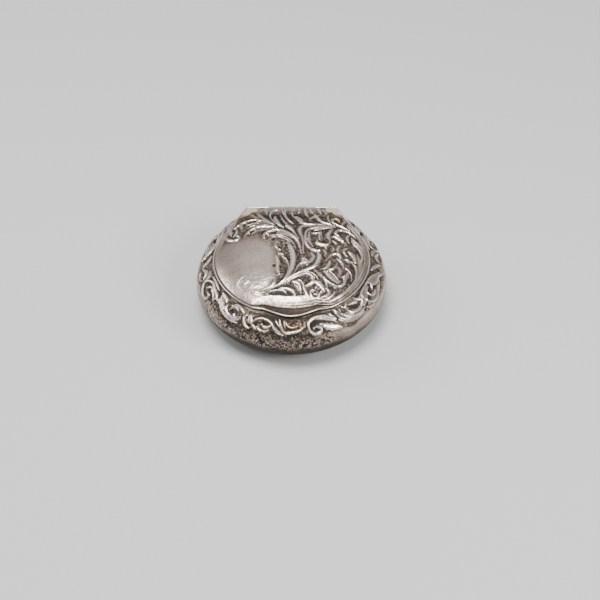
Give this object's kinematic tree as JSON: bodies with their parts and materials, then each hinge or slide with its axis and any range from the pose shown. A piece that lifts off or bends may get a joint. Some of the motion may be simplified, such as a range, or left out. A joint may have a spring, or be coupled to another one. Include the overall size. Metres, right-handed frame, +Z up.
{
  "type": "pill box",
  "caption": "Round embossed silver pill box with a domed lid, a small thumb lip at the front and a barrel hinge across the straight back edge.",
  "frame": {"origin": "on the surface the box stands on, under the middle of the round body", "axes": "+Z up, +Y towards the hinge at the back, so the thumb lip is at -Y, and +X to the right seen from the front"},
  "size_m": [0.045, 0.045, 0.0166],
  "materials": {
    "embossed_silver": "stamped and chased silver, worn bright on the raised work and dark with tarnish in the ground",
    "polished_silver": "old polished silver with fine scratches and a warm tone",
    "gilt_silver": "thin fire gilding, satin",
    "silver_wire": "drawn silver wire"
  },
  "bodies": {
    "body": {"base_bowl": "polished_silver", "body_shoulder": "embossed_silver", "body_bezel": "gilt_silver", "hinge_gutter": "polished_silver", "body_knuckle_1": "polished_silver", "body_knuckle_2": "polished_silver", "body_knuckle_3": "polished_silver", "body_knuckle_4": "polished_silver", "hinge_pin": "silver_wire"},
    "lid": {"lid_shell": "embossed_silver", "lid_rim": "polished_silver", "lid_knuckle_1": "polished_silver", "lid_knuckle_2": "polished_silver", "lid_knuckle_3": "polished_silver"}
  },
  "joints": [
    {"name": "lid_hinge", "type": "hinge", "parent": "body", "child": "lid", "pos_m": [0, 0.0189, 0.0118], "axis": [-1, 0, 0], "range_deg": [0, 100]}
  ]
}
